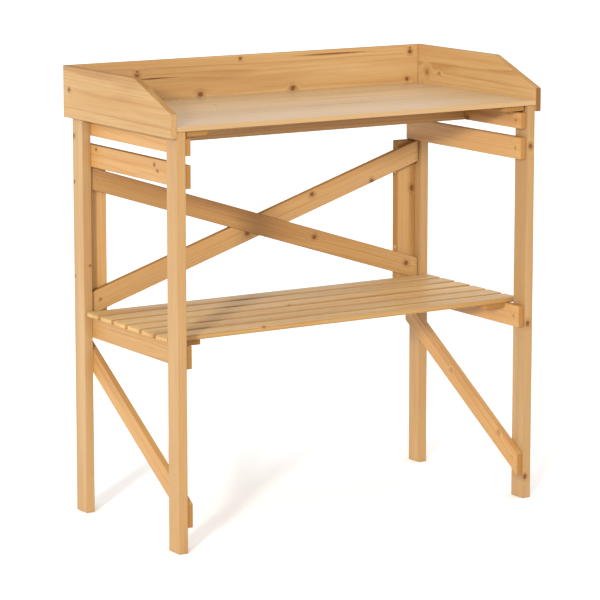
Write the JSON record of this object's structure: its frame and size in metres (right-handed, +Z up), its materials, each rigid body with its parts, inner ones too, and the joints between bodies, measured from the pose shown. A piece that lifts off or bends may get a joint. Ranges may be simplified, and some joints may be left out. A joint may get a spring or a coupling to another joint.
{
  "type": "potting bench",
  "caption": "Wooden potting bench: a tray top with a rim on three sides, a slatted shelf, braced end frames and a crossed back brace.",
  "frame": {"origin": "on the floor, under the middle of the bench", "axes": "+X to the right seen from the front, +Y from front to back, +Z up"},
  "size_m": [0.8, 0.4, 0.84],
  "materials": {
    "leg_wood": "varnished fir, satin",
    "rail_wood": "varnished fir, satin",
    "top_wood": "varnished fir, satin",
    "rim_wood": "varnished fir, satin",
    "slat_wood": "varnished fir, satin",
    "screw_metal": "yellow zinc plated"
  },
  "bodies": {
    "root": {"back_cleat_left": "rail_wood", "back_cleat_right": "rail_wood", "back_diagonal_falling": "rail_wood", "back_diagonal_rising": "rail_wood", "end_brace_left": "rail_wood", "end_brace_right": "rail_wood", "leg_back_left": "leg_wood", "leg_back_right": "leg_wood", "leg_front_left": "leg_wood", "leg_front_right": "leg_wood", "rim_back": "rim_wood", "rim_left": "rim_wood", "rim_right": "rim_wood", "screw_cleat_lower_left": "screw_metal", "screw_cleat_lower_right": "screw_metal", "screw_cleat_upper_left": "screw_metal", "screw_cleat_upper_right": "screw_metal", "screw_diagonal_lower_left": "screw_metal", "screw_diagonal_lower_right": "screw_metal", "screw_diagonal_upper_left": "screw_metal", "screw_diagonal_upper_right": "screw_metal", "screw_end_brace_back_left": "screw_metal", "screw_end_brace_back_right": "screw_metal", "screw_end_brace_front_left": "screw_metal", "screw_end_brace_front_right": "screw_metal", "screw_second_rail_back_left": "screw_metal", "screw_second_rail_back_right": "screw_metal", "screw_second_rail_front_left": "screw_metal", "screw_second_rail_front_right": "screw_metal", "screw_shelf_rail_back_left": "screw_metal", "screw_shelf_rail_back_right": "screw_metal", "screw_shelf_rail_front_left": "screw_metal", "screw_shelf_rail_front_right": "screw_metal", "screw_top_rail_back_left": "screw_metal", "screw_top_rail_back_right": "screw_metal", "screw_top_rail_front_left": "screw_metal", "screw_top_rail_front_right": "screw_metal", "second_rail_left": "rail_wood", "second_rail_right": "rail_wood", "shelf_batten_left": "rail_wood", "shelf_batten_right": "rail_wood", "shelf_rail_left": "rail_wood", "shelf_rail_right": "rail_wood", "shelf_slat_1": "slat_wood", "shelf_slat_2": "slat_wood", "shelf_slat_3": "slat_wood", "shelf_slat_4": "slat_wood", "shelf_slat_5": "slat_wood", "shelf_slat_6": "slat_wood", "tabletop_board_1": "top_wood", "tabletop_board_2": "top_wood", "tabletop_board_3": "top_wood", "tabletop_board_4": "top_wood", "top_batten_left": "rail_wood", "top_batten_right": "rail_wood", "top_rail_left": "rail_wood", "top_rail_right": "rail_wood", "top_stretcher": "rail_wood"}
  },
  "joints": []
}
